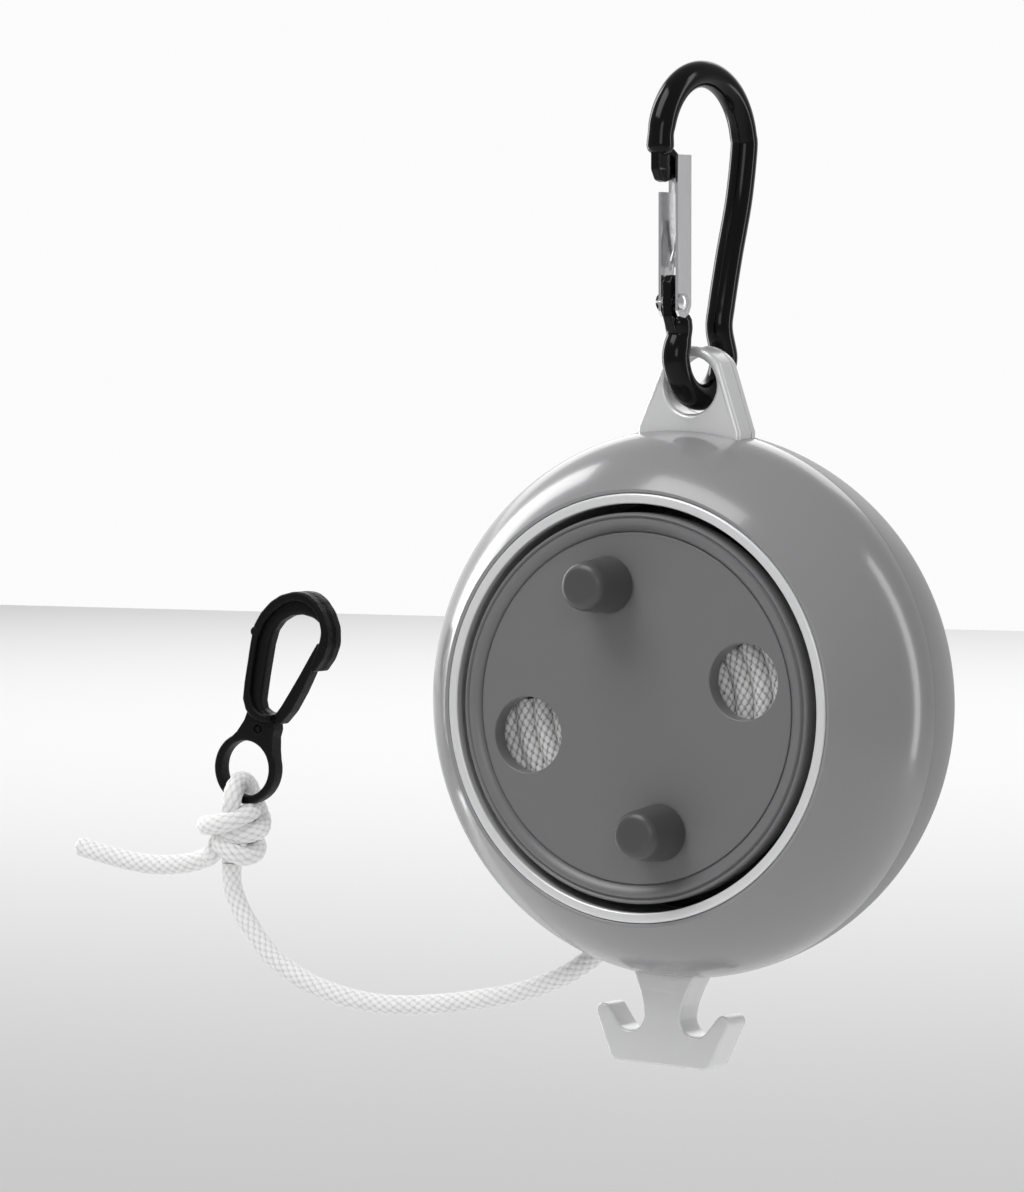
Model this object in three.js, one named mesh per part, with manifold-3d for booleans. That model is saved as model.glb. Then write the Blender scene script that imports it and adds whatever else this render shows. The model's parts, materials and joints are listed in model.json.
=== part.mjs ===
// A hand-wound travel clothesline reel. Two glossy domed shells close round a silver frame whose
// plates stand out as a hanging eye above and a double line hook below. A spool turns inside them,
// wound by two finger pegs. A carabiner hangs the reel, and the line ends in a small snap hook.
// Millimetres, +Z up. The origin is the inside of the carabiner's crown, where the object hangs.
// Most pieces are drawn about the eye or about the reel's centre, with the reel's axis along Y and
// its front towards -Y.

import * as THREE from 'three';
import { mergeVertices } from 'three/addons/utils/BufferGeometryUtils.js';
import Module from 'manifold-3d';

const wasm = await Module();
wasm.setup();

const DEGREE = Math.PI / 180;

// Clearances
const GAP = 0.3;                  // between two pieces that touch or are cut by each other
const OVERCUT = 1;                // how far a cutting tool runs past the face that it cuts

// Facets round a full turn
const COARSE = 16;
const MEDIUM = 24;
const FINE = 48;

// Housing
const HOUSING_RADIUS = 47;
const FRONT_DOME = 29.1;          // depth at which the front dome would close
const REAR_DOME = 41.7;
const SHELL_WALL = 2;
const FRONT_FACE = -18.1;         // plane of the bezel's face
const BACK_FACE = 25;             // plane of the flat back
const BACK_CORNER = 2.4;          // round between the rear dome and the back
const LIP_DEPTH = 3;              // the shell's straight lip round the bezel
const LIP_ROUND = 0.5;
const REEL_ROLL = 2.8 * DEGREE;   // the reel hangs slightly turned, pulled by its line

// Frame plates
const PLATE_THICKNESS = 6.6;      // both plates together
const REAR_PLATE = 2;
const PLATE_RING_WIDTH = 9.2;
const SHELL_SEAM = PLATE_THICKNESS / 2 - REAR_PLATE;
const EYE_STANDOFF = 7.4;         // eye centre above the housing's rim
const EYE_HOLE = 4.9;
const EYE_RADIUS = 6.7;
const EYE_BASE = 9.8;             // half width where the eye meets the rim
const ROOT_DEPTH = 6;             // how far the eye and the hook reach inside the rim

// Double hook under the reel
const NECK_TOP = 5.9;             // half widths
const NECK_WAIST = 3.5;
const PRONG_REACH = 12.9;
const HOOK_BASE = 8.05;           // to the middle of the bottom corner's round
const NOTCH_DROP = 9.6;           // distances below the rim
const PRONG_DROP = 5.4;
const HOOK_BASE_DROP = 15.15;
const NOTCH_RADIUS = 2.9;
const PRONG_RADIUS = 1.3;
const HOOK_CORNER = 2;

// Bezel
const BEZEL_WIDTH = 1.75;
const BEZEL_FLANGE = 2.2;
const BEZEL_FLANGE_DEPTH = 1.6;

// Spool
const SPOOL_GAP = 1.5;            // radial gap between bezel and spool
const SPOOL_SET_BACK = 0.4;       // flat face behind the bezel's face
const SPOOL_RIM = 3.3;            // width of the raised rim
const SPOOL_BEAD = 0.85;          // height of the rim's bead above the flat face
const SPOOL_FRONT_THICKNESS = 3.4;
const SPOOL_REAR = 15.2;          // front plane of the rear flange
const SPOOL_REAR_THICKNESS = 1.8;
const HUB_RADIUS = 12;
const HUB_WALL = 2;
const HUB_END = 2.4;
const SPIGOT_DEPTH = 5;
const SPIGOT_WALL = 1.8;
const PEEP_RADIUS = 6.45;
const PEEP_EDGE = 1.95;           // land between a peep hole and the rim
const PATTERN_TURN = 16.5 * DEGREE;
const WINDING_DEPTH = 3.4;        // the wound line stays this far inside the flanges' edge
const LINE_RADIUS = 1.8;

// Finger pegs
const PEG_BASE = 4.85;
const PEG_TIP = 4;
const PEG_HEIGHT = 9.8;
const PEG_ROUND = 1;
const PEG_PIN = 1.5;
const PEG_PIN_DEPTH = 6.6;
const PEG_PIN_HEAD = 2.8;
const PEG_PIN_HEAD_THICKNESS = 1;

// Axle, at the back
const STUB_RADIUS = 2.9;
const STUB_LENGTH = 3.2;
const BUSHING_WALL = 1.1;
const BUSHING_FLANGE = 1.8;
const BUSHING_FLANGE_THICKNESS = 0.7;
const POCKET_RADIUS = 9.2;
const POCKET_DEPTH = 4.2;
const WASHER_RADIUS = 5.2;
const WASHER_THICKNESS = 0.6;
const AXLE_SCREW_RADIUS = 1.3;
const AXLE_SCREW_HEAD = 2.7;
const AXLE_SCREW_HEAD_THICKNESS = 0.9;
const AXLE_SCREW_LENGTH = 6;
const CAP_THICKNESS = 1.1;

// Housing screws
const SCREW_COUNT = 4;
const SCREW_CIRCLE_INSET = 6.4;   // from the housing's rim to the screws' circle
const SCREW_RADIUS = 1.2;
const SCREW_HEAD = 2.6;
const SCREW_HEAD_THICKNESS = 1.6;
const BOSS_WALL = 1.7;
const BOSS_FLOOR = 12;            // plane where a screw's head sits
const SCREW_END = -9.6;
const FRONT_BOSS_END = -10.8;

// Line guide in the rear shell
const GUIDE_ANGLE = 248 * DEGREE; // place on the rim, from +X towards +Z
const GUIDE_AXIS = 228 * DEGREE;  // the way the line leaves
const GUIDE_PLANE = 9;
const GUIDE_RADIUS = 4.4;
const GUIDE_BORE = 2.3;
const GUIDE_PROUD = 0.7;          // stands out of the shell, and into it
const GUIDE_INSIDE = 1.2;

// Carabiner, drawn about the eye's centre: u runs front to back, v up
const CARABINER_TWIST = 6 * DEGREE;
const WIRE_RADIUS = 2.35;
const CROWN_RADIUS = 12.6;
const CROWN_U = 1;
const CROWN_V = 40.3;
const BEND_RADIUS = 7.2;
const BEND_U = 0.3;
const BEND_V = 5.2;
const BLADE_THICKNESS = 1.8;      // flattened nose and gate hinge
const RIVET_U = -8.1;
const RIVET_V = 14.1;
const RIVET_RADIUS = 0.8;
const RIVET_HEAD = 1.5;
const RIVET_HEAD_THICKNESS = 0.6;
const GATE_FRONT = -9.2;
const GATE_BACK = -5.2;
const GATE_CLEARANCE = 1.3;       // from the gate's top down from the crown's centre line
const GATE_WIDTH = 4;
const GATE_WALL = 0.5;
const GATE_NOTCH = 6.3;
const GATE_FLOOR_START = 20;
const GATE_SPRING_RADIUS = 0.3;

// Snap hook on the line, drawn about its ring's centre: p across, q along
const SNAP_PLACE = new THREE.Vector3(-90.9, 0, -68.4);
const SNAP_TILT = 18.3 * DEGREE;
const SNAP_THICKNESS = 3.4;       // ring and neck
const SNAP_HOOK_THICKNESS = 5.2;
const SNAP_RING = 6.4;
const SNAP_RING_HOLE = 4.9;

// Knot and loop on the line
const KNOT_PLACE = new THREE.Vector3(-94.1, 0, -80);
const KNOT_SIZE = new THREE.Vector3(6.2, 5.8, 5);
const LOOP_SLACK = 1.1;           // room beside the ring, inside the loop

// Where the line and its tail meet the knot, from the knot's middle
const LINE_ROOT = new THREE.Vector3(-0.4, 0, -5.5);
const TAIL_ROUTE = [
  [-4.9, -4.4], [-8.3, -5.6], [-12.7, -6.3], [-18.4, -6.4], [-24.3, -5.6], [-28.8, -4.7], [-32.4, -3.9],
];

// Free line between the guide and the knot: share of the way, and drop below the straight line
const LINE_IN_GUIDE = 3.5;
const LINE_OUT_OF_GUIDE = 3.9;
const LINE_SAG = [
  [0, 0], [0.05, 3.3], [0.105, 6.2], [0.21, 10.4], [0.32, 13.4], [0.43, 16], [0.54, 18], [0.65, 18.9],
  [0.756, 18.4], [0.822, 17.2], [0.887, 14.9], [0.939, 11.3], [0.979, 7.5], [0.999, 3.8], [1, 0],
];

// Values worked out from the sizes above
const domeRadius = (y) => {
  const depth = y < 0 ? FRONT_DOME : REAR_DOME;
  return HOUSING_RADIUS * Math.sqrt(1 - (y / depth) ** 2);
};
const innerDomeRadius = (y) => {
  const depth = (y < 0 ? FRONT_DOME : REAR_DOME) - SHELL_WALL;
  return (HOUSING_RADIUS - SHELL_WALL) * Math.sqrt(1 - (y / depth) ** 2);
};
const bezelOuter = domeRadius(FRONT_FACE) - LIP_ROUND;
const bezelInner = bezelOuter - BEZEL_WIDTH;
const spoolRadius = bezelInner - SPOOL_GAP;
const spoolFace = FRONT_FACE + SPOOL_SET_BACK;
const spoolFrontBack = spoolFace + SPOOL_FRONT_THICKNESS;
const flatRadius = spoolRadius - SPOOL_RIM;
const patternRadius = flatRadius - PEEP_EDGE - PEEP_RADIUS;
const spoolRearBack = SPOOL_REAR + SPOOL_REAR_THICKNESS;
const eyeHeight = HOUSING_RADIUS + EYE_STANDOFF;
const plateFront = -PLATE_THICKNESS / 2;
const plateBack = PLATE_THICKNESS / 2;
const plateOuter = innerDomeRadius(plateFront) - GAP;
const plateInner = plateOuter - PLATE_RING_WIDTH;
const screwCircle = HOUSING_RADIUS - SCREW_CIRCLE_INSET;
const bossRadius = SCREW_RADIUS + GAP + BOSS_WALL;
const hangHeight = CROWN_V + CROWN_RADIUS - WIRE_RADIUS;
const gateTop = CROWN_V - GATE_CLEARANCE;
const loopRadius = SNAP_THICKNESS / 2 + LINE_RADIUS + LOOP_SLACK;
const loopBore = loopRadius - LINE_RADIUS - GAP;
const loopMiddle = SNAP_RING_HOLE + Math.sqrt(loopBore ** 2 - (SNAP_THICKNESS / 2) ** 2);

// Shapes

function solid(geometry, placement = new THREE.Matrix4()) {
  const bare = geometry.clone().applyMatrix4(placement);
  bare.deleteAttribute('normal');
  bare.deleteAttribute('uv');
  const merged = mergeVertices(bare, 1e-4);
  const corners = merged.index.array;
  const triangles = [];
  for (let i = 0; i < corners.length; i += 3) {
    const [a, b, c] = corners.slice(i, i + 3);
    if (a !== b && b !== c && c !== a) triangles.push(a, b, c);
  }
  return new wasm.Manifold(new wasm.Mesh({
    numProp: 3,
    vertProperties: new Float32Array(merged.attributes.position.array),
    triVerts: new Uint32Array(triangles),
  }));
}

function turned(profile, facets) {
  const points = profile.map(([radius, y]) => new THREE.Vector2(radius, y));
  if (THREE.ShapeUtils.area(points) < 0) points.reverse();
  return solid(new THREE.LatheGeometry([...points, points[0]], facets));
}

function ring(inner, outer, start, end, facets) {
  return turned([[inner, start], [outer, start], [outer, end], [inner, end]], facets);
}

function disc(radius, start, end, facets) {
  return turned([[0, start], [radius, start], [radius, end], [0, end]], facets);
}

// A cylinder along Y, standing off the axis
function post(x, z, radius, start, end, facets) {
  return disc(radius, start, end, facets).translate([x, 0, z]);
}

function box(low, high) {
  const size = new THREE.Vector3(...high).sub(new THREE.Vector3(...low));
  const middle = new THREE.Vector3(...low).addScaledVector(size, 0.5);
  const place = new THREE.Matrix4().makeTranslation(middle.x, middle.y, middle.z);
  return solid(new THREE.BoxGeometry(size.x, size.y, size.z), place);
}

// An outline in X and Z, given thickness along Y
function plate(shape, start, end, facets = 8) {
  const geometry = new THREE.ExtrudeGeometry(shape, {
    depth: end - start,
    bevelEnabled: false,
    curveSegments: facets,
  });
  geometry.rotateX(Math.PI / 2);
  return solid(geometry.translate(0, end, 0));
}

// An outline in the carabiner's u and v, centred on its plane
function blade(shape, thickness) {
  const geometry = new THREE.ExtrudeGeometry(shape, { depth: thickness, bevelEnabled: false });
  const basis = new THREE.Matrix4().makeBasis(
    new THREE.Vector3(0, 1, 0),
    new THREE.Vector3(0, 0, 1),
    new THREE.Vector3(1, 0, 0),
  );
  return solid(geometry.translate(0, 0, -thickness / 2), basis);
}

function outline(points) {
  return new THREE.Shape(points.map(([x, y]) => new THREE.Vector2(x, y)));
}

function arc(x, y, radius, from, to, steps) {
  const points = [];
  for (let i = 0; i <= steps; i += 1) {
    const angle = (from + (to - from) * i / steps) * DEGREE;
    points.push([x + radius * Math.cos(angle), y + radius * Math.sin(angle)]);
  }
  return points;
}

function tube(points, radius, sides, steps) {
  const section = outline(arc(0, 0, radius, 0, 360 - 360 / sides, sides - 1));
  const path = new THREE.CatmullRomCurve3(points.map((point) => new THREE.Vector3(...point)));
  return solid(new THREE.ExtrudeGeometry(section, { steps, extrudePath: path }));
}

function material(color, roughness, metalness) {
  return () => new THREE.MeshStandardMaterial({ color, roughness, metalness });
}

function piece(group, name, body, finish) {
  const { vertProperties, triVerts } = body.getMesh();
  const geometry = new THREE.BufferGeometry();
  geometry.setAttribute('position', new THREE.BufferAttribute(new Float32Array(vertProperties), 3));
  geometry.setIndex(new THREE.BufferAttribute(new Uint32Array(triVerts), 1));
  geometry.computeVertexNormals();
  const mesh = new THREE.Mesh(geometry, finish());
  mesh.name = name;
  group.add(mesh);
}

const greyShell = material(0x9b9b9d, 0.16, 0);
const silver = material(0xd8d9da, 0.34, 0.15);
const darkGrey = material(0x747476, 0.38, 0);
const pegGrey = material(0x5b5b5d, 0.42, 0);
const braid = material(0xf2f2ee, 0.85, 0);
const blackGloss = material(0x0a0a0b, 0.14, 0.6);
const blackMatte = material(0x17171a, 0.6, 0);
const steel = material(0xc9cacc, 0.25, 1);
const blackPlastic = material(0x222225, 0.5, 0);

// Places of the housing screws, turned clear of the eye and the hook
const screwPlaces = [];
for (let i = 0; i < SCREW_COUNT; i += 1) {
  const angle = (i + 0.5) * 2 * Math.PI / SCREW_COUNT;
  screwPlaces.push([screwCircle * Math.cos(angle), screwCircle * Math.sin(angle)]);
}

// Frame plates

function eyeShape() {
  const shape = new THREE.Shape();
  const slope = Math.atan2(EYE_BASE - EYE_RADIUS, EYE_STANDOFF);
  const turn = slope * 1.6;
  shape.moveTo(EYE_BASE, HOUSING_RADIUS - ROOT_DEPTH);
  shape.lineTo(EYE_BASE, HOUSING_RADIUS);
  shape.absarc(0, eyeHeight, EYE_RADIUS, turn, Math.PI - turn);
  shape.lineTo(-EYE_BASE, HOUSING_RADIUS);
  shape.lineTo(-EYE_BASE, HOUSING_RADIUS - ROOT_DEPTH);
  return shape;
}

function doubleHookShape() {
  const rim = -HOUSING_RADIUS;
  const notchX = NECK_WAIST + NOTCH_RADIUS;
  const notchZ = rim - NOTCH_DROP + NOTCH_RADIUS;
  const prongX = PRONG_REACH - PRONG_RADIUS;
  const half = [
    [NECK_TOP, rim + ROOT_DEPTH],
    [NECK_TOP, rim],
    [NECK_WAIST + 1.1, rim - 2.4],
    [NECK_WAIST + 0.3, rim - 4.6],
    ...arc(notchX, notchZ, NOTCH_RADIUS, 180, 315, 9),
    ...arc(prongX, rim - PRONG_DROP - PRONG_RADIUS, PRONG_RADIUS, 155, -20, 7),
    ...arc(HOOK_BASE, rim - HOOK_BASE_DROP + HOOK_CORNER, HOOK_CORNER, -27, -90, 4),
  ];
  const mirrored = half.map(([x, z]) => [-x, z]).reverse();
  return outline([...half, ...mirrored]);
}

function ringPlate(start, end) {
  return ring(plateInner, plateOuter, start, end, FINE);
}

function eyePlate(start, end) {
  const hole = post(0, eyeHeight, EYE_HOLE, start - OVERCUT, end + OVERCUT, MEDIUM);
  return plate(eyeShape(), start, end, COARSE).subtract(hole);
}

function drillScrews(body, radius, start, end) {
  let drilled = body;
  for (const [x, z] of screwPlaces) {
    drilled = drilled.subtract(post(x, z, radius, start, end, COARSE));
  }
  return drilled;
}

function framePlates(group) {
  const seam = SHELL_SEAM;
  const bore = SCREW_RADIUS + GAP;
  const front = ringPlate(plateFront, seam)
    .add(eyePlate(plateFront, seam))
    .add(plate(doubleHookShape(), plateFront, plateBack));
  piece(group, 'frame_front', drillScrews(front, bore, plateFront - OVERCUT, seam + OVERCUT), silver);

  const hookRelief = box(
    [-NECK_TOP - GAP, seam, -HOUSING_RADIUS - OVERCUT],
    [NECK_TOP + GAP, plateBack + OVERCUT, -HOUSING_RADIUS + ROOT_DEPTH + GAP],
  );
  const rear = ringPlate(seam + GAP, plateBack)
    .add(eyePlate(seam + GAP, plateBack))
    .subtract(hookRelief);
  piece(group, 'frame_rear', drillScrews(rear, bore, seam, plateBack + OVERCUT), silver);
}

// Shells

function rimSlots(body) {
  const eyeSlot = box(
    [-EYE_BASE - GAP, plateFront - GAP, HOUSING_RADIUS - ROOT_DEPTH],
    [EYE_BASE + GAP, plateBack + GAP, HOUSING_RADIUS + OVERCUT],
  );
  const hookSlot = box(
    [-NECK_TOP - GAP, plateFront - GAP, -HOUSING_RADIUS - OVERCUT],
    [NECK_TOP + GAP, plateBack + GAP, -HOUSING_RADIUS + ROOT_DEPTH],
  );
  return body.subtract(eyeSlot).subtract(hookSlot);
}

function domePoints(radiusAt, from, to, steps) {
  const points = [];
  for (let i = 0; i <= steps; i += 1) {
    const y = from + (to - from) * i / steps;
    points.push([radiusAt(y), y]);
  }
  return points;
}

function frontShell(group) {
  const lip = bezelOuter + GAP;
  const lipBack = FRONT_FACE + LIP_DEPTH;
  let body = turned([
    [lip, FRONT_FACE + LIP_ROUND],
    ...domePoints(domeRadius, FRONT_FACE + LIP_ROUND / 2, 0, 9),
    [HOUSING_RADIUS, SHELL_SEAM],
    [HOUSING_RADIUS - SHELL_WALL, SHELL_SEAM],
    ...domePoints(innerDomeRadius, 0, lipBack + 1.5, 5),
    [lip, lipBack],
  ], FINE);
  for (const [x, z] of screwPlaces) {
    const boss = post(x, z, bossRadius, FRONT_BOSS_END - 4, plateFront - GAP, COARSE);
    const dome = turned([
      [0, FRONT_FACE],
      ...domePoints((y) => domeRadius(y) - SHELL_WALL / 2, FRONT_FACE, 0, 9),
      [0, 0],
    ], FINE);
    body = body.add(boss.intersect(dome));
  }
  body = drillScrews(body, SCREW_RADIUS + GAP, FRONT_BOSS_END + 0.6, 0);
  piece(group, 'front_shell', rimSlots(body), greyShell);
}

function rearDomeSolid(grow) {
  const points = domePoints((y) => domeRadius(y) + grow, SHELL_SEAM + GAP, BACK_FACE - BACK_CORNER, 9);
  const corner = domeRadius(BACK_FACE - BACK_CORNER) + grow;
  const back = BACK_FACE + grow;
  return turned([
    [0, SHELL_SEAM + GAP],
    ...points,
    [corner - 1.1, back - 1],
    [corner - BACK_CORNER - 0.8, back],
    [0, back],
  ], FINE);
}

function rearShell(group) {
  const pocketFloor = BACK_FACE - POCKET_DEPTH;
  const inside = turned([
    [0, SHELL_SEAM],
    ...domePoints(innerDomeRadius, SHELL_SEAM, BACK_FACE - SHELL_WALL - 1.5, 8),
    [innerDomeRadius(BACK_FACE - SHELL_WALL - 1.5) - 2, BACK_FACE - SHELL_WALL],
    [POCKET_RADIUS + SHELL_WALL, BACK_FACE - SHELL_WALL],
    [POCKET_RADIUS + SHELL_WALL, pocketFloor - SHELL_WALL],
    [0, pocketFloor - SHELL_WALL],
  ], FINE);
  let body = rearDomeSolid(0).subtract(inside);
  body = body.subtract(disc(POCKET_RADIUS, pocketFloor, BACK_FACE + OVERCUT, MEDIUM));
  body = body.subtract(disc(STUB_RADIUS + 2 * GAP + BUSHING_WALL, pocketFloor - SHELL_WALL - OVERCUT,
    pocketFloor + OVERCUT, MEDIUM));
  for (const [x, z] of screwPlaces) {
    const boss = post(x, z, SCREW_HEAD + GAP + BOSS_WALL, BOSS_FLOOR - SHELL_WALL, BACK_FACE, COARSE)
      .add(post(x, z, bossRadius, plateBack + GAP, BOSS_FLOOR, COARSE));
    body = body.add(boss.intersect(rearDomeSolid(0)));
  }
  body = drillScrews(body, SCREW_RADIUS + GAP, SHELL_SEAM, BOSS_FLOOR + OVERCUT);
  body = drillScrews(body, SCREW_HEAD + GAP, BOSS_FLOOR, BACK_FACE + OVERCUT);
  body = body.subtract(guidePlug(GUIDE_RADIUS + GAP));
  piece(group, 'rear_shell', rimSlots(body), greyShell);
}

// Line guide: a plug through the rear shell's wall, slanted the way the line leaves

function guidePlace() {
  const radius = domeRadius(GUIDE_PLANE);
  return new THREE.Matrix4().compose(
    new THREE.Vector3(radius * Math.cos(GUIDE_ANGLE), GUIDE_PLANE, radius * Math.sin(GUIDE_ANGLE)),
    new THREE.Quaternion().setFromAxisAngle(new THREE.Vector3(0, 1, 0), -GUIDE_AXIS - Math.PI / 2),
    new THREE.Vector3(1, 1, 1),
  );
}

function guidePlug(radius) {
  const rod = new THREE.CylinderGeometry(radius, radius, 16, COARSE);
  rod.rotateX(Math.PI / 2);
  return solid(rod, guidePlace());
}

function lineGuide(group) {
  const inner = turned([
    [0, SHELL_SEAM],
    ...domePoints((y) => innerDomeRadius(y) - GUIDE_INSIDE, SHELL_SEAM, BACK_FACE - SHELL_WALL - 3, 6),
    [0, BACK_FACE - SHELL_WALL - 3],
  ], FINE);
  const body = guidePlug(GUIDE_RADIUS)
    .intersect(rearDomeSolid(GUIDE_PROUD))
    .subtract(inner)
    .subtract(guidePlug(GUIDE_BORE));
  piece(group, 'line_guide', body, blackPlastic);
}

// Bezel

function bezel(group) {
  const flangeBack = plateFront - GAP;
  const flangeFront = flangeBack - BEZEL_FLANGE_DEPTH;
  let body = turned([
    [bezelInner, FRONT_FACE + 0.3],
    [bezelInner + 0.3, FRONT_FACE],
    [bezelOuter - 0.4, FRONT_FACE],
    [bezelOuter, FRONT_FACE + 0.4],
    [bezelOuter, flangeFront],
    [bezelOuter + BEZEL_FLANGE, flangeFront],
    [bezelOuter + BEZEL_FLANGE, flangeBack],
    [bezelInner + 0.5, flangeBack],
    [bezelInner + 0.5, FRONT_FACE + 2.2],
    [bezelInner, FRONT_FACE + 1.7],
  ], FINE);
  body = drillScrews(body, bossRadius + GAP, flangeFront - OVERCUT, flangeBack + OVERCUT);
  piece(group, 'front_bezel', body, silver);
}

// Fasteners

function screw(group, name, x, z) {
  const body = disc(SCREW_HEAD, BOSS_FLOOR + GAP, BOSS_FLOOR + GAP + SCREW_HEAD_THICKNESS, COARSE)
    .add(disc(SCREW_RADIUS, SCREW_END, BOSS_FLOOR + 2 * GAP, COARSE));
  const recess = box([-1.8, BOSS_FLOOR + GAP + 0.7, -0.35], [1.8, BOSS_FLOOR + 4, 0.35])
    .add(box([-0.35, BOSS_FLOOR + GAP + 0.7, -1.8], [0.35, BOSS_FLOOR + 4, 1.8]));
  piece(group, name, body.subtract(recess).translate([x, 0, z]), steel);
}

// Spool, drawn with its peep holes on the X axis and its pegs on the Z axis

function spoolFront(group) {
  const bead = spoolFace - SPOOL_BEAD;
  const hubBore = HUB_RADIUS - HUB_WALL;
  let body = turned([
    [0, spoolFace],
    [flatRadius - 0.3, spoolFace],
    [flatRadius, spoolFace + 0.4],
    [flatRadius + 0.3, spoolFace - 0.2],
    [flatRadius + 1.2, bead + 0.15],
    [flatRadius + 1.7, bead],
    [flatRadius + 2.2, bead + 0.2],
    [spoolRadius - 0.5, bead + 0.35],
    [spoolRadius, bead + 0.9],
    [spoolRadius, spoolFrontBack],
    [hubBore - GAP, spoolFrontBack],
    [hubBore - GAP, spoolFrontBack + SPIGOT_DEPTH],
    [hubBore - GAP - SPIGOT_WALL, spoolFrontBack + SPIGOT_DEPTH],
    [hubBore - GAP - SPIGOT_WALL, spoolFrontBack],
    [0, spoolFrontBack],
  ], FINE);
  for (const side of [-1, 1]) {
    body = body
      .subtract(post(side * patternRadius, 0, PEEP_RADIUS, spoolFace - 2, spoolFrontBack + OVERCUT, MEDIUM))
      .subtract(post(0, side * patternRadius, PEG_PIN + GAP, spoolFace - 2, spoolFrontBack, COARSE))
      .subtract(post(0, side * patternRadius, PEG_PIN_HEAD + GAP,
        spoolFrontBack - PEG_PIN_HEAD_THICKNESS - 2 * GAP, spoolFrontBack + OVERCUT, COARSE));
  }
  piece(group, 'spool_front', body, darkGrey);
}

function spoolHub(group) {
  const bore = HUB_RADIUS - HUB_WALL;
  const start = spoolFrontBack + GAP;
  const screwBore = AXLE_SCREW_RADIUS + GAP;
  const spigot = bore - GAP;
  const stubEnd = spoolRearBack + HUB_END + STUB_LENGTH;
  const body = turned([
    [bore, start],
    [HUB_RADIUS, start],
    [HUB_RADIUS, SPOOL_REAR - GAP],
    [spigot, SPOOL_REAR - GAP],
    [spigot, spoolRearBack],
    [STUB_RADIUS, spoolRearBack],
    [STUB_RADIUS, stubEnd - HUB_END],
    [screwBore, stubEnd - HUB_END],
    [screwBore, SPOOL_REAR - 2 * HUB_END],
    [bore, SPOOL_REAR - 2 * HUB_END],
  ], MEDIUM);
  piece(group, 'spool_hub', body, darkGrey);
}

function spoolRearFlange(group) {
  const flange = ring(HUB_RADIUS - HUB_WALL, spoolRadius - 0.4, SPOOL_REAR, spoolRearBack, FINE);
  piece(group, 'spool_rear_flange', flange, darkGrey);
}

function woundLine(group) {
  const start = spoolFrontBack + GAP;
  const end = SPOOL_REAR - GAP;
  const outer = spoolRadius - WINDING_DEPTH;
  piece(group, 'wound_line', ring(HUB_RADIUS + GAP, outer, start, end, FINE), braid);
}

function axle(group) {
  const washerFront = BACK_FACE - POCKET_DEPTH + GAP;
  const headFront = washerFront + WASHER_THICKNESS + GAP;
  piece(group, 'axle_washer', ring(AXLE_SCREW_RADIUS + GAP, WASHER_RADIUS, washerFront,
    washerFront + WASHER_THICKNESS, MEDIUM), steel);
  const shank = disc(AXLE_SCREW_RADIUS, headFront - AXLE_SCREW_LENGTH, headFront + GAP, COARSE);
  const head = disc(AXLE_SCREW_HEAD, headFront, headFront + AXLE_SCREW_HEAD_THICKNESS, COARSE);
  piece(group, 'axle_screw', shank.add(head), steel);
}

function bushing(group) {
  const inner = STUB_RADIUS + GAP;
  const outer = inner + BUSHING_WALL;
  const floorBack = BACK_FACE - POCKET_DEPTH;
  const floorFront = floorBack - SHELL_WALL;
  const body = turned([
    [inner, floorFront - GAP - BUSHING_FLANGE_THICKNESS],
    [outer + BUSHING_FLANGE, floorFront - GAP - BUSHING_FLANGE_THICKNESS],
    [outer + BUSHING_FLANGE, floorFront - GAP],
    [outer, floorFront - GAP],
    [outer, floorBack],
    [inner, floorBack],
  ], MEDIUM);
  piece(group, 'axle_bushing', body, blackPlastic);
}

function backCap(group) {
  const cap = disc(POCKET_RADIUS - GAP, BACK_FACE - CAP_THICKNESS, BACK_FACE, MEDIUM);
  piece(group, 'back_cap', cap, greyShell);
}

// Finger pegs

function fingerPeg(group, name, z) {
  const base = spoolFace - GAP;
  const tip = spoolFace - PEG_HEIGHT;
  const body = turned([
    [PEG_PIN + GAP, base],
    [PEG_BASE, base],
    [PEG_TIP + 0.1, tip + PEG_ROUND],
    [PEG_TIP - 0.25, tip + 0.3],
    [PEG_TIP - PEG_ROUND, tip],
    [0, tip],
    [0, base - PEG_PIN_DEPTH - GAP],
    [PEG_PIN + GAP, base - PEG_PIN_DEPTH - GAP],
  ], MEDIUM);
  piece(group, name, body.translate([0, 0, z]), pegGrey);
}

function pegPin(group, name, z) {
  const headFront = spoolFrontBack - PEG_PIN_HEAD_THICKNESS - GAP;
  const body = disc(PEG_PIN_HEAD, headFront, headFront + PEG_PIN_HEAD_THICKNESS, COARSE)
    .add(disc(PEG_PIN, spoolFace - GAP - PEG_PIN_DEPTH, headFront + GAP, COARSE));
  piece(group, name, body.translate([0, 0, z]), steel);
}

// Carabiner

function rivetHole() {
  const radius = RIVET_RADIUS + GAP;
  const rod = new THREE.CylinderGeometry(radius, radius, 2 * GATE_WIDTH, COARSE);
  return solid(rod.rotateZ(Math.PI / 2).translate(0, RIVET_U, RIVET_V));
}

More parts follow.
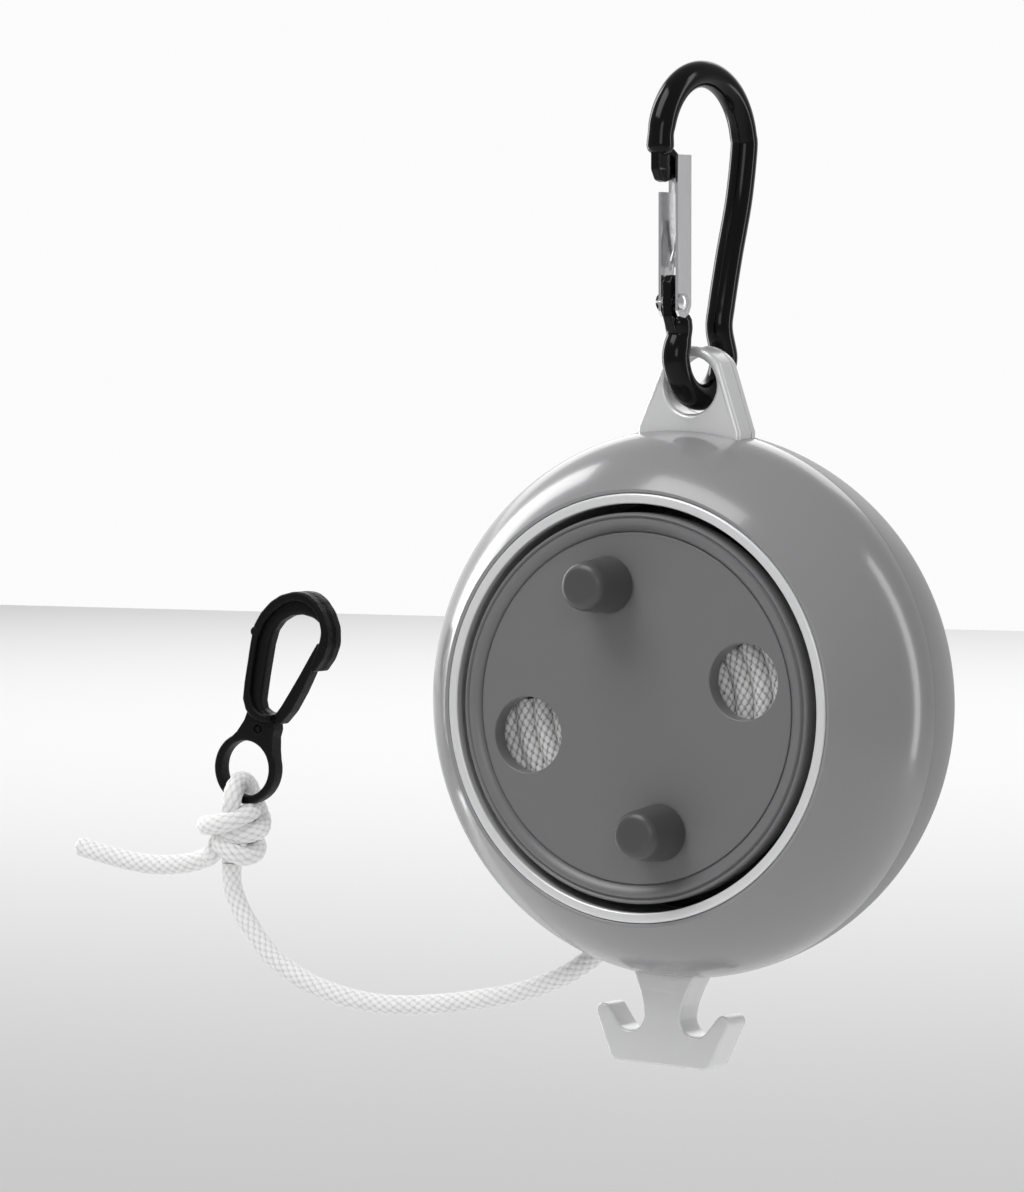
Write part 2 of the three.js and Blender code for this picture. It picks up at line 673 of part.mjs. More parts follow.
function carabinerBody(group) {
  const route = [
    [-6.2, 10.9], [-5.9, 8.6],
    ...arc(BEND_U, BEND_V, BEND_RADIUS, 180, 360, 8),
    [6.1, 9.6], [6.8, 13.6], [9, 0.54 * CROWN_V], [12, CROWN_V - 8.7],
    ...arc(CROWN_U, CROWN_V, CROWN_RADIUS, 0, 180, 10),
  ];
  const wire = tube(route.map(([u, v]) => [0, u, v]), WIRE_RADIUS, 12, 52);
  const tongue = blade(outline([
    [-8.6, 9.2], [-9.7, 11.6], [-9.8, 17.4], [-8.9, 18.7], [-7.2, 18.7], [-6.4, 17.6], [-6, 9.4],
  ]), BLADE_THICKNESS);
  const noseBack = GATE_BACK - 2 * GATE_WALL;
  const nose = blade(outline([
    [-13.3, CROWN_V + 0.6], [-13.3, CROWN_V - 3.9], [-12.2, CROWN_V - 5.7], [-10.9, CROWN_V - 6],
    [noseBack, CROWN_V - 4.9], [noseBack, CROWN_V - 1.9], [-9.9, CROWN_V + 0.6],
  ]), BLADE_THICKNESS);
  piece(group, 'carabiner_body', wire.add(tongue).add(nose).subtract(rivetHole()), blackGloss);
}

function gate(group) {
  const half = GATE_WIDTH / 2;
  const inside = half - GATE_WALL;
  const side = [
    [GATE_FRONT, 12.6], [-8.7, 11.7], [-6.9, 11.4], [-5.8, 12.3], [GATE_BACK, 13.6],
    [GATE_BACK, gateTop], [GATE_FRONT, gateTop],
  ];
  const body = blade(outline(side), GATE_WIDTH)
    .subtract(box([-inside, GATE_FRONT - OVERCUT, 0],
      [inside, GATE_BACK - GATE_WALL, gateTop + OVERCUT]))
    .subtract(box([-inside, GATE_FRONT, 0], [inside, GATE_BACK + OVERCUT, GATE_FLOOR_START]))
    .subtract(box([-half - OVERCUT, GATE_FRONT - OVERCUT, gateTop - GATE_NOTCH],
      [-inside / 2, GATE_BACK - 2 * GATE_WALL, gateTop + OVERCUT]));
  piece(group, 'gate', body.subtract(rivetHole()), steel);
}

function gateRivet(group) {
  const half = GATE_WIDTH / 2 + GAP;
  const profile = [
    [0, -half - RIVET_HEAD_THICKNESS], [RIVET_HEAD * 0.6, -half - RIVET_HEAD_THICKNESS * 0.8],
    [RIVET_HEAD, -half], [RIVET_RADIUS, -half], [RIVET_RADIUS, half], [RIVET_HEAD, half],
    [RIVET_HEAD * 0.6, half + RIVET_HEAD_THICKNESS * 0.8], [0, half + RIVET_HEAD_THICKNESS],
  ];
  const body = turned(profile, COARSE).rotate([0, 0, 90]).translate([0, RIVET_U, RIVET_V]);
  piece(group, 'gate_rivet', body, steel);
}

function gateSpring(group) {
  const route = [[0, -8.5, 19.2], [0, -8.4, 20.6], [0, -7.4, 23], [0, -6.5, 26.4], [0, -6.4, 28]];
  piece(group, 'gate_spring', tube(route, GATE_SPRING_RADIUS, 6, 10), steel);
}

// Snap hook at the line's end

function snapHook(group) {
  const hook = outline([
    [-2.6, 9.6], [-3.7, 11.9], [-4.3, 14.9], [-5.3, 22], [-5.6, 25], [-4.9, 27.7], [-3.6, 30.2],
    [-2, 32], [0.4, 33.5], [2.8, 34.1], [5, 33.7], [7.4, 32.3], [9.2, 29.9], [10, 26.8],
    [9.8, 24], [8.8, 21.3], [7.9, 21.5], [8.1, 24], [8.2, 26.9], [8, 28.2], [6.9, 29.5],
    [5, 30.1], [2.6, 29.9], [0.4, 28.9], [-1.2, 27.2], [-2, 25.2], [-2, 22.6], [-1.3, 17],
    [-0.6, 12.6], [0.2, 11.3], [1.6, 10.9], [2.6, 11.1], [3.1, 9.6],
  ]);
  const neck = outline([[-2.9, 5.2], [-2.6, 9.9], [3.2, 9.9], [3.7, 8.9], [3.9, 6.8], [4.4, 5.2]]);
  const half = SNAP_THICKNESS / 2;
  const hookHalf = SNAP_HOOK_THICKNESS / 2;
  const hole = disc(SNAP_RING_HOLE, -half - OVERCUT, half + OVERCUT, MEDIUM);
  const body = ring(SNAP_RING_HOLE, SNAP_RING, -half, half, MEDIUM)
    .add(plate(neck, -half, half).subtract(hole))
    .add(plate(hook, -hookHalf, hookHalf));
  piece(group, 'snap_hook', body, blackMatte);
}

function snapTongue(group) {
  const tongue = outline([
    [3, 11.3], [3.6, 9.8], [4.6, 10.1], [5.9, 12.8], [6.9, 16.8], [7.5, 20.4], [7.8, 24],
    [7.9, 26.2], [7.3, 26.2], [6.6, 23.6], [5.7, 20], [4.7, 16.4], [3.7, 13],
  ]);
  const half = SNAP_THICKNESS / 2 - 0.2;
  piece(group, 'snap_tongue', plate(tongue, -half, half), blackMatte);
}

// Line

function lineRoute() {
  const toEye = new THREE.Matrix4().makeRotationY(REEL_ROLL)
    .multiply(new THREE.Matrix4().makeTranslation(0, 0, -eyeHeight))
    .multiply(guidePlace());
  const inside = new THREE.Vector3(0, 0, LINE_IN_GUIDE).applyMatrix4(toEye);
  const mouth = new THREE.Vector3(0, 0, -LINE_OUT_OF_GUIDE).applyMatrix4(toEye);
  const root = KNOT_PLACE.clone().add(LINE_ROOT);
  const sagging = LINE_SAG.map(([share, drop]) => {
    const point = mouth.clone().lerp(root, share);
    point.z -= drop;
    return point.toArray();
  });
  return [inside.toArray(), ...sagging];
}

function line(group) {
  piece(group, 'line', tube(lineRoute(), LINE_RADIUS, 8, 34), braid);
  const tail = TAIL_ROUTE.map(([x, z]) => [KNOT_PLACE.x + x, KNOT_PLACE.y, KNOT_PLACE.z + z]);
  piece(group, 'line_tail', tube(tail, LINE_RADIUS, 8, 12), braid);
}

function knotAndLoop(group) {
  const toKnot = KNOT_PLACE.clone().sub(SNAP_PLACE);
  const away = toKnot.clone().normalize();
  const loopRoute = arc(0, loopMiddle, loopRadius, 180, 360, 10)
    .map(([y, w]) => SNAP_PLACE.clone().addScaledVector(away, w).setY(y).toArray());
  piece(group, 'line_loop', tube(loopRoute, LINE_RADIUS, 8, 10), braid);

  const facing = new THREE.Quaternion().setFromUnitVectors(new THREE.Vector3(0, 0, -1), away);
  const unscaled = new THREE.Vector3(1, 1, 1);
  const knotPlace = new THREE.Matrix4().compose(KNOT_PLACE, new THREE.Quaternion(), KNOT_SIZE);
  const lidPlace = new THREE.Matrix4().compose(KNOT_PLACE, facing, unscaled);
  const flat = toKnot.length() - loopMiddle - GAP;
  const knot = solid(new THREE.SphereGeometry(1, COARSE, 10), knotPlace);
  const lid = solid(new THREE.BoxGeometry(40, 40, 20).translate(0, 0, flat + 10), lidPlace);
  piece(group, 'line_knot', knot.subtract(lid), braid);
}

// Assembly: the eye's centre is the middle of this group, and the crown's inside is the origin

const clothesline = new THREE.Group();
const assembly = new THREE.Group();
assembly.position.z = -hangHeight;
clothesline.add(assembly);

const carabiner = new THREE.Group();
carabiner.rotation.z = -CARABINER_TWIST;
carabinerBody(carabiner);
gate(carabiner);
gateRivet(carabiner);
gateSpring(carabiner);

const swing = new THREE.Group();
swing.rotation.y = REEL_ROLL;
const reel = new THREE.Group();
reel.position.z = -eyeHeight;
swing.add(reel);
frontShell(reel);
rearShell(reel);
bezel(reel);
framePlates(reel);
lineGuide(reel);
bushing(reel);
backCap(reel);
screwPlaces.forEach(([x, z], i) => screw(reel, `housing_screw_${i + 1}`, x, z));

const spool = new THREE.Group();
spool.rotation.y = -PATTERN_TURN;
spoolFront(spool);
spoolHub(spool);
spoolRearFlange(spool);
woundLine(spool);
axle(spool);
pegPin(spool, 'peg_pin_1', patternRadius);
pegPin(spool, 'peg_pin_2', -patternRadius);
fingerPeg(spool, 'finger_peg_1', patternRadius);
fingerPeg(spool, 'finger_peg_2', -patternRadius);
reel.add(spool);

const lineGroup = new THREE.Group();
line(lineGroup);
knotAndLoop(lineGroup);
const snap = new THREE.Group();
snap.position.copy(SNAP_PLACE);
snap.rotation.y = SNAP_TILT;
snapHook(snap);
snapTongue(snap);
lineGroup.add(snap);

assembly.add(carabiner, swing, lineGroup);

export default clothesline;
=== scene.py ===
import json
import math

import bpy
import bmesh
from mathutils import Matrix, Vector
from mathutils.geometry import tessellate_polygon

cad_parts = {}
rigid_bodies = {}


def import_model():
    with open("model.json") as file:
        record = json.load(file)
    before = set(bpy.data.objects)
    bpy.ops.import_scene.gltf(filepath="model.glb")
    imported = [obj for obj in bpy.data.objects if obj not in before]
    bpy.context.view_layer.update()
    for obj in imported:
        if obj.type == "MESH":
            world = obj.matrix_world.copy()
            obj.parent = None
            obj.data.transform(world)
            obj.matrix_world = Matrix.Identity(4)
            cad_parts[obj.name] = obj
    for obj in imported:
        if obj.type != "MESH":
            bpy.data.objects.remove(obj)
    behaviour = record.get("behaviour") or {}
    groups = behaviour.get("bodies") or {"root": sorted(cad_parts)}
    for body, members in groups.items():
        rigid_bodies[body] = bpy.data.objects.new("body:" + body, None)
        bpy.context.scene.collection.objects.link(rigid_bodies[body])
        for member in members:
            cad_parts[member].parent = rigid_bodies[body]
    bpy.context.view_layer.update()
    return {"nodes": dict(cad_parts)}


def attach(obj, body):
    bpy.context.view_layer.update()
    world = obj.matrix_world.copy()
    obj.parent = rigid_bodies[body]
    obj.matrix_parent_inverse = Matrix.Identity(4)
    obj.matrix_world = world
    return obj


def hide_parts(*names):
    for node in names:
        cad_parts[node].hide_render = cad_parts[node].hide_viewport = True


for stale in list(bpy.data.objects):
    bpy.data.objects.remove(stale)

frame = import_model()

MM = 0.001
FINE = 200
MEDIUM = 72


def turn(axis, degrees):
    return Matrix.Rotation(math.radians(degrees), 4, axis)


def shift(x, y, z):
    return Matrix.Translation((x, y, z))


# Frames of the CAD groups, in millimetres
EYE_DROP = 50.55  # from the crown's inside, which is the origin, to the eye's centre
EYE_HEIGHT = 54.4  # the eye's centre above the reel's axis
REEL_TILT, SPOOL_TURN, CARABINER_TURN, SNAP_TURN = 2.8, -16.5, -6, 18.3
SNAP_PLACE = (-90.9, 0, -68.4)
EYE = shift(0, 0, -EYE_DROP)
REEL = EYE @ turn("Y", REEL_TILT) @ shift(0, 0, -EYE_HEIGHT)
SPOOL = REEL @ turn("Y", SPOOL_TURN)
CARABINER = EYE @ turn("Z", CARABINER_TURN)
SNAP = EYE @ shift(*SNAP_PLACE) @ turn("Y", SNAP_TURN)

# Camera: a long lens, aimed so that the reel sits low and right

AZIMUTH, ELEVATION = math.radians(28.6), math.radians(3.3)
DISTANCE = 1.111
LENS, SENSOR = 196.3, 36
YAW, PITCH = math.radians(1.523), math.radians(0.943)

centre = REEL @ Vector((0, 0, 0)) * MM
back = Vector((
    math.sin(AZIMUTH) * math.cos(ELEVATION),
    -math.cos(AZIMUTH) * math.cos(ELEVATION),
    math.sin(ELEVATION),
))
right = Vector((math.cos(AZIMUTH), math.sin(AZIMUTH), 0))
forward = (-back * math.cos(YAW) - right * math.sin(YAW)).normalized()
side = forward.cross(Vector((0, 0, 1))).normalized()
above = side.cross(forward)
forward = (forward * math.cos(PITCH) + above * math.sin(PITCH)).normalized()

camera = bpy.data.objects.new("camera", bpy.data.cameras.new("camera"))
bpy.context.scene.collection.objects.link(camera)
bpy.context.scene.camera = camera
camera.location = centre + back * DISTANCE
camera.rotation_mode = "QUATERNION"
camera.rotation_quaternion = forward.to_track_quat("-Z", "Y")
camera.data.sensor_width = SENSOR
camera.data.lens = LENS
camera.data.clip_start = 0.01
camera.data.clip_end = 50


# Materials


def node(tree, kind, **inputs):
    """A new node with some of its inputs set."""
    made = tree.nodes.new(kind)
    for name, value in inputs.items():
        made.inputs[name.replace("_", " ")].default_value = value
    return made


def material(name, colour, roughness, metallic=0.0, coat=0.0, grain=0.0, grain_scale=900.0, specular=0.5):
    """One plain finish. grain is the strength of a fine bump, grain_scale how fine it is."""
    made = bpy.data.materials.new(name)
    made.use_nodes = True
    tree = made.node_tree
    shader = tree.nodes["Principled BSDF"]
    shader.inputs["Base Color"].default_value = (*colour, 1)
    shader.inputs["Roughness"].default_value = roughness
    shader.inputs["Metallic"].default_value = metallic
    shader.inputs["Coat Weight"].default_value = coat
    shader.inputs["Coat Roughness"].default_value = 0.06
    shader.inputs["Specular IOR Level"].default_value = specular
    if grain:
        place = tree.nodes.new("ShaderNodeTexCoord")
        noise = node(tree, "ShaderNodeTexNoise", Scale=grain_scale, Detail=3.0)
        bump = node(tree, "ShaderNodeBump", Strength=grain, Distance=0.0002)
        tree.links.new(place.outputs["Object"], noise.inputs["Vector"])
        tree.links.new(noise.outputs["Fac"], bump.inputs["Height"])
        tree.links.new(bump.outputs["Normal"], shader.inputs["Normal"])
    return made


def braid_material(name, low, high):
    """A cord's finish with painted shade: its colour runs from low between its yarns to high on their crowns.
    """
    made = material(name, high, 0.75, specular=0.25)
    tree = made.node_tree
    shader = tree.nodes["Principled BSDF"]
    shader.inputs["Sheen Weight"].default_value = 0.25
    # Painted shade: the colour ramp darkens the cord between its yarns
    painted_shade = tree.nodes.new("ShaderNodeAttribute")
    painted_shade.attribute_name = "painted_shade"
    ramp = tree.nodes.new("ShaderNodeValToRGB")
    ramp.color_ramp.elements[0].position = 0.1
    ramp.color_ramp.elements[0].color = (*low, 1)
    ramp.color_ramp.elements[1].position = 0.75
    ramp.color_ramp.elements[1].color = (*high, 1)
    place = tree.nodes.new("ShaderNodeTexCoord")
    noise = node(tree, "ShaderNodeTexNoise", Scale=2600.0, Detail=2.0)
    bump = node(tree, "ShaderNodeBump", Strength=0.35, Distance=0.00012)
    tree.links.new(painted_shade.outputs["Fac"], ramp.inputs["Fac"])
    tree.links.new(ramp.outputs["Color"], shader.inputs["Base Color"])
    tree.links.new(place.outputs["Object"], noise.inputs["Vector"])
    tree.links.new(noise.outputs["Fac"], bump.inputs["Height"])
    tree.links.new(bump.outputs["Normal"], shader.inputs["Normal"])
    return made


SHELL_COLOUR = (0.26, 0.26, 0.264)
SHELL = material("shell_grey", SHELL_COLOUR, 0.19, coat=0.25)
BACK_SHELL = material("back_shell_grey", SHELL_COLOUR, 0.42, specular=0.25)
SILVER = material("frame_silver", (0.74, 0.742, 0.745), 0.27, metallic=0.25, grain=0.04)
DISC = material("spool_grey", (0.165, 0.165, 0.168), 0.34, grain=0.05, grain_scale=600.0)
PEG = material("peg_grey", (0.065, 0.065, 0.067), 0.36, grain=0.06)
BLACK = material("carabiner_black", (0.003, 0.003, 0.0032), 0.12, specular=0.2)
HOOK = material("hook_black", (0.005, 0.005, 0.0052), 0.42, grain=0.5, grain_scale=1500.0, specular=0.13)
STEEL = material("bright_steel", (0.82, 0.82, 0.83), 0.2, metallic=1.0, grain=0.08)
PLAIN = material("plain_black", (0.02, 0.02, 0.022), 0.45)
# line_white: its low colour is painted shade between the yarns
BRAID = braid_material("line_white", (0.56, 0.56, 0.56), (0.92, 0.92, 0.91))
# wound_white: its near-black low colour is painted shade between the wound turns
WOUND = braid_material("wound_white", (0.06, 0.06, 0.06), (0.9, 0.9, 0.89))


# Shapes


def rounded(points, steps=6):
    """A closed outline of (x, y, radius) corners, with the rounds drawn in."""
    drawn = []
    for i, corner in enumerate(points):
        here = Vector(corner[:2])
        radius = corner[2] if len(corner) > 2 else 0
        if not radius:
            drawn.append(tuple(here))
            continue
        before = Vector(points[i - 1][:2]) - here
        after = Vector(points[(i + 1) % len(points)][:2]) - here
        reach = radius / math.tan(before.angle(after) / 2)
        reach = min(reach, 0.49 * before.length, 0.49 * after.length)
        first, last = here + before.normalized() * reach, here + after.normalized() * reach
        for k in range(steps + 1):
            t = k / steps
            drawn.append(tuple(first.lerp(here, t).lerp(here.lerp(last, t), t)))
    return drawn


def arc(x, y, radius, start, end, steps):
    """Points on a round, from one angle to another in degrees."""
    angles = [math.radians(start + (end - start) * k / steps) for k in range(steps + 1)]
    return [(x + radius * math.cos(a), y + radius * math.sin(a)) for a in angles]


def circle(x, y, radius, steps=64):
    """A closed round outline."""
    return arc(x, y, radius, 0, 360 - 360 / steps, steps - 1)


def lathe(profile, segments):
    """A profile of (radius, y) turned round the Y axis and closed on itself."""
    vertices, faces, rings = [], [], []
    for radius, y in profile:
        start = len(vertices)
        if radius < 1e-6:
            vertices.append((0, y, 0))
            rings.append([start] * segments)
            continue
        for i in range(segments):
            a = 2 * math.pi * i / segments
            vertices.append((radius * math.cos(a), y, radius * math.sin(a)))
        rings.append(list(range(start, start + segments)))
    for one, two in zip(rings, rings[1:] + rings[:1]):
        if one[0] == one[1] and two[0] == two[1]:
            continue
        for i in range(segments):
            j = (i + 1) % segments
            face = []
            for v in (one[i], two[i], two[j], one[j]):
                if v not in face:
                    face.append(v)
            faces.append(face)
    return vertices, faces


def area(loop):
    """Above nought when the loop runs anticlockwise."""
    return sum(a[0] * b[1] - b[0] * a[1] for a, b in zip(loop, loop[1:] + loop[:1])) / 2


def slab(outer, holes, low, high, soft_low, soft_high, steps=4):
    """A plate outlined in x and z, from low to high in y, with rounded edges on either face."""
    loops = [outer if area(outer) > 0 else outer[::-1]]
    loops += [hole if area(hole) < 0 else hole[::-1] for hole in holes]
    levels = []
    for k in range(steps + 1):
        a = k / steps * math.pi / 2
        levels.append((soft_low * (1 - math.sin(a)), low + soft_low * (1 - math.cos(a))))
    for k in range(steps + 1):
        a = k / steps * math.pi / 2
        levels.append((soft_high * (1 - math.cos(a)), high - soft_high * (1 - math.sin(a))))
    vertices, faces = [], []
    caps = ([], [])
    for loop in loops:
        count = len(loop)
        inward = []
        for i in range(count):
            here = Vector(loop[i])
            a = (here - Vector(loop[i - 1])).normalized()
            b = (Vector(loop[(i + 1) % count]) - here).normalized()
            na, nb = Vector((-a.y, a.x)), Vector((-b.y, b.x))
            inward.append((na + nb) / max(0.5, 1 + na.dot(nb)))
        start = len(vertices)
        for offset, y in levels:
            for i in range(count):
                p = Vector(loop[i]) + inward[i] * offset
                vertices.append((p.x, y, p.y))
        for level in range(len(levels) - 1):
            for i in range(count):
                j = (i + 1) % count
                a, b = start + level * count, start + (level + 1) * count
                faces.append((a + i, a + j, b + j, b + i))
        caps[0].append(list(range(start, start + count)))
        last = start + (len(levels) - 1) * count
        caps[1].append(list(range(last, last + count)))
    for cap in caps:
        flat = [v for loop in cap for v in loop]
        lines = [[Vector((vertices[v][0], vertices[v][2], 0)) for v in loop] for loop in cap]
        faces += [tuple(flat[v] for v in triangle) for triangle in tessellate_polygon(lines)]
    return vertices, faces


CURVE_STEPS = 40  # straight pieces from one control point to the next


def smooth_path(points, step):
    """Points of a smooth curve through the given ones, one step apart."""
    control = [Vector(p) for p in points]
    control = [2 * control[0] - control[1]] + control + [2 * control[-1] - control[-2]]
    dense = []
    for a, b, c, d in zip(control, control[1:], control[2:], control[3:]):
        for k in range(CURVE_STEPS):
            t = k / CURVE_STEPS
            dense.append(0.5 * (2 * b + (c - a) * t + (2 * a - 5 * b + 4 * c - d) * t * t
                                + (3 * b - a - 3 * c + d) * t ** 3))
    dense.append(control[-2])
    total = sum((b - a).length for a, b in zip(dense, dense[1:]))
    count = max(2, round(total / step))
    found, walked, goal = [dense[0]], 0.0, total / count
    for a, b in zip(dense, dense[1:]):
        length = (b - a).length
        while walked + length >= goal - 1e-9 and len(found) < count:
            found.append(a.lerp(b, (goal - walked) / length))
            goal += total / count
        walked += length
    found.append(dense[-1])
    return found


TIP_REACH = 0.7  # how far a soft end stands out, in radii


def sweep(path, sides, radius_at, soft_ends=(True, True)):
    """A tube along the path. radius_at(distance, share of a turn) gives its radius and the painted shade of
    its colour.
    """
    vertices, faces, painted_shades = [], [], []
    tangent = (path[1] - path[0]).normalized()
    across = tangent.orthogonal().normalized()
    walked = 0.0
    for i, here in enumerate(path):
        ahead = (path[min(i + 1, len(path) - 1)] - path[max(i - 1, 0)]).normalized()
        across = (across - ahead * across.dot(ahead)).normalized()
        other = ahead.cross(across)
        if i:
            walked += (here - path[i - 1]).length
        for k in range(sides):
            a = 2 * math.pi * k / sides
            radius, painted_shade = radius_at(walked, k / sides)
            vertices.append(here + (across * math.cos(a) + other * math.sin(a)) * radius)
            painted_shades.append(painted_shade)
    for i in range(len(path) - 1):
        for k in range(sides):
            j = (k + 1) % sides
            faces.append((i * sides + k, i * sides + j, (i + 1) * sides + j, (i + 1) * sides + k))
    for end, soft in ((0, soft_ends[0]), (len(path) - 1, soft_ends[1])):
        outward = (path[end] - path[1 if end == 0 else end - 1]).normalized()
        previous = [end * sides + k for k in range(sides)]
        middle = path[end]
        if soft:
            for a in (30, 60):
                ring = []
                for k in range(sides):
                    spoke = vertices[end * sides + k] - middle
                    ring.append(len(vertices))
                    vertices.append(middle + spoke * math.cos(math.radians(a))
                                    + outward * spoke.length * TIP_REACH * math.sin(math.radians(a)))
                    painted_shades.append(painted_shades[end * sides + k])
                for k in range(sides):
                    j = (k + 1) % sides
                    faces.append((previous[k], previous[j], ring[j], ring[k]))
                previous = ring
        tip = len(vertices)
        reach = TIP_REACH * (vertices[end * sides] - middle).length if soft else 0
        vertices.append(middle + outward * reach)
        painted_shades.append(0.5)
        for k in range(sides):
            faces.append((previous[k], previous[(k + 1) % sides], tip))
    return vertices, faces, painted_shades


def woven(radius, pitch=15.0, carriers=8, relief=0.26):
    """The surface of a round braid: two sets of yarns winding opposite ways, over and under; its crown value
    is also painted shade, dark between the yarns.
    """

    def at(walked, share):
        one = carriers * (share + walked / pitch)
        two = carriers * (share - walked / pitch)
        over = (math.floor(one) + math.floor(two)) % 2 == 0
        across, along = (one % 1, two % 1) if over else (two % 1, one % 1)
        crown = max(0.0, 1 - (2 * across - 1) ** 2) ** 0.5 * (1 - 0.55 * (2 * along - 1) ** 2)
        return radius - relief * (1 - crown), crown

    return at


# Pieces


def merged(*parts):
    """Several shapes as one."""
    vertices, faces = [], []
    for part in parts:
        base = len(vertices)
        vertices += list(part[0])
        faces += [[v + base for v in face] for face in part[1]]
    return vertices, faces


def moved(shape, x, y, z):
    return [(v[0] + x, v[1] + y, v[2] + z) for v in shape[0]], shape[1]


def raw(name, shape, place):
    """An object with no finish yet, from a shape in millimetres and the frame it is drawn in."""
    vertices, faces, *painted_shades = shape
    mesh = bpy.data.meshes.new(name)
    mesh.from_pydata([place @ Vector(v) * MM for v in vertices], [], [list(f) for f in faces])
    # Painted shade per point, which the braid finishes turn into darker colour between the yarns
    if painted_shades:
        painted_shade = mesh.attributes.new("painted_shade", "FLOAT", "POINT")
        painted_shade.data.foreach_set("value", painted_shades[0])
    outwards = bmesh.new()
    outwards.from_mesh(mesh)
    bmesh.ops.recalc_face_normals(outwards, faces=outwards.faces)
    outwards.to_mesh(mesh)
    outwards.free()
    made = bpy.data.objects.new(name, mesh)
    bpy.context.scene.collection.objects.link(made)
    return made


def apply_all(made):
    """Keep what the modifiers make as the object's own mesh."""
    graph = bpy.context.evaluated_depsgraph_get()
    mesh = bpy.data.meshes.new_from_object(made.evaluated_get(graph))
    made.modifiers.clear()
    made.data = mesh


def combine(made, tools, operation="DIFFERENCE"):
    """Cut the object with each tool, or keep what they share, and drop the tools."""
    for tool in tools:
        step = made.modifiers.new("cut", "BOOLEAN")
        step.operation = operation
        step.object = tool
        step.solver = "EXACT"
    bpy.context.view_layer.update()
    apply_all(made)
    for tool in tools:
        bpy.data.objects.remove(tool)


def smooth(made, finish, angle):
    """Give the object its finish, shaded smooth up to an angle in degrees."""
    made.data.materials.clear()
    made.data.materials.append(finish)
    for polygon in made.data.polygons:
        polygon.use_smooth = True
        polygon.material_index = 0
    made.data.set_sharp_from_angle(angle=math.radians(angle))


def dress(made, finish, body, nodes=(), angle=35, weighted=True):
    """Finish the object, set it on the body it rides on and hide the CAD nodes it stands for."""
    smooth(made, finish, angle)
    if weighted:
        weight = made.modifiers.new("normals", "WEIGHTED_NORMAL")
        weight.keep_sharp = True
    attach(made, body)
    if nodes:
        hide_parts(*nodes)
    return made


def box(low, high):
    """A block between two opposite corners."""
    (a, b, c), (d, e, f) = low, high
    corners = [(x, y, z) for x in (a, d) for y in (b, e) for z in (c, f)]
    return corners, [(0, 1, 3, 2), (4, 6, 7, 5), (0, 4, 5, 1), (2, 3, 7, 6), (0, 2, 6, 4), (1, 5, 7, 3)]


def rod(x, z, radius, low, high):
    """A round bar along y, about a point in x and z."""
    return moved(lathe([(0, low), (radius, low), (radius, high), (0, high)], 48), x, 0, z)


# Line: the free stretch, then its knot and tail, in the eye's frame

RADIUS = 1.8  # the line's own, in millimetres
KNOT = Vector((-94.1, 0, -80))
IN_GUIDE, MOUTH = Vector((-19.44, 9, -93.51)), Vector((-24.66, 9, -98.76))
LINE_ROOT = KNOT + Vector((-0.4, 0, -5.5))
# Share of the way from the guide's mouth to the knot, and drop below the straight line
LINE_SAG = [
    (0, 0), (0.05, 3.3), (0.105, 6.2), (0.21, 10.4), (0.32, 13.4), (0.43, 16), (0.54, 18), (0.65, 18.9),
    (0.756, 18.4), (0.822, 17.2), (0.887, 14.9), (0.939, 11.3), (0.979, 7.5), (0.999, 3.8), (1, 0),
]
LINE_ROUTE = [IN_GUIDE] + [MOUTH.lerp(LINE_ROOT, share) - Vector((0, 0, drop)) for share, drop in LINE_SAG]
TAIL_ROUTE = [KNOT + Vector((x, 0, z)) for x, z in [
    (-4.9, -4.4), (-8.3, -5.6), (-12.7, -6.3), (-18.4, -6.4), (-24.3, -5.6), (-28.8, -4.7), (-32.4, -3.9),
]]
# From the knot's middle, to the right, to the front and up, as knot_point() reads them
KNOT_ROUTE = [
    (-0.35, -0.2, -5.4), (-0.4, -0.3, -3.4), (-0.6, -0.6, -0.4), (-0.5, 1.0, 2.4), (-0.3, 3.4, 4.2),
    (0.0, 4.3, 6.2), (0.5, 3.3, 8.1), (1.1, 1.5, 9.0), (1.8, -0.8, 9.0), (2.5, -2.8, 8.0), (3.1, -4.1, 6.2),
    (4.1, -3.6, 3.8), (4.9, -1.4, 2.0), (4.7, 1.2, 0.7), (2.9, 3.2, 0.1), (0.4, 3.3, -0.2), (-1.8, 2.1, -0.9),
    (-1.7, 2.8, -2.2), (0.2, 3.7, -3.3), (2.2, 3.2, -4.0), (3.9, 1.2, -3.4), (3.8, -1.6, -2.0),
    (1.4, -3.8, -0.8), (-1.8, -3.9, 0.3), (-4.3, -2.2, 1.1), (-4.8, 0.6, 1.3), (-3.2, 3.4, 1.6),
    (-0.6, 4.8, 2.3), (1.9, 4.0, 3.3), (3.2, 1.6, 3.9), (2.4, -1.0, 3.2), (-0.4, -2.4, 1.0),
    (-2.6, -2.4, -1.6), (-4.0, -2.2, -4.0), (-5.4, -2.8, -5.0),
]


def knot_point(across, forth, up):
    """The knot is drawn as seen at AZIMUTH, so its two level directions are turned by it."""
    c, s = math.cos(AZIMUTH), math.sin(AZIMUTH)
    return KNOT + Vector((across * c + forth * s, across * s - forth * c, up))


STEP = 0.26
SIDES = 40


def braided(name, points, nodes, ends=(False, False)):
    """A length of line riding on the housing, and points along its middle in metres."""
    path = smooth_path(points, STEP)
    made = raw(name, sweep(path, SIDES, woven(RADIUS), ends), EYE)
    dress(made, BRAID, "housing", nodes, angle=180, weighted=False)
    return made, [tuple(EYE @ p * MM) for p in path[::6] + [path[-1]]]


free, free_path = braided("free_line", LINE_ROUTE, ["line"])
knot, _ = braided("knot", [knot_point(*p) for p in KNOT_ROUTE], ["line_knot", "line_loop"])
tail, _ = braided("tail", TAIL_ROUTE, ["line_tail"], (False, True))


# Housing: everything in the reel's frame, front at low y

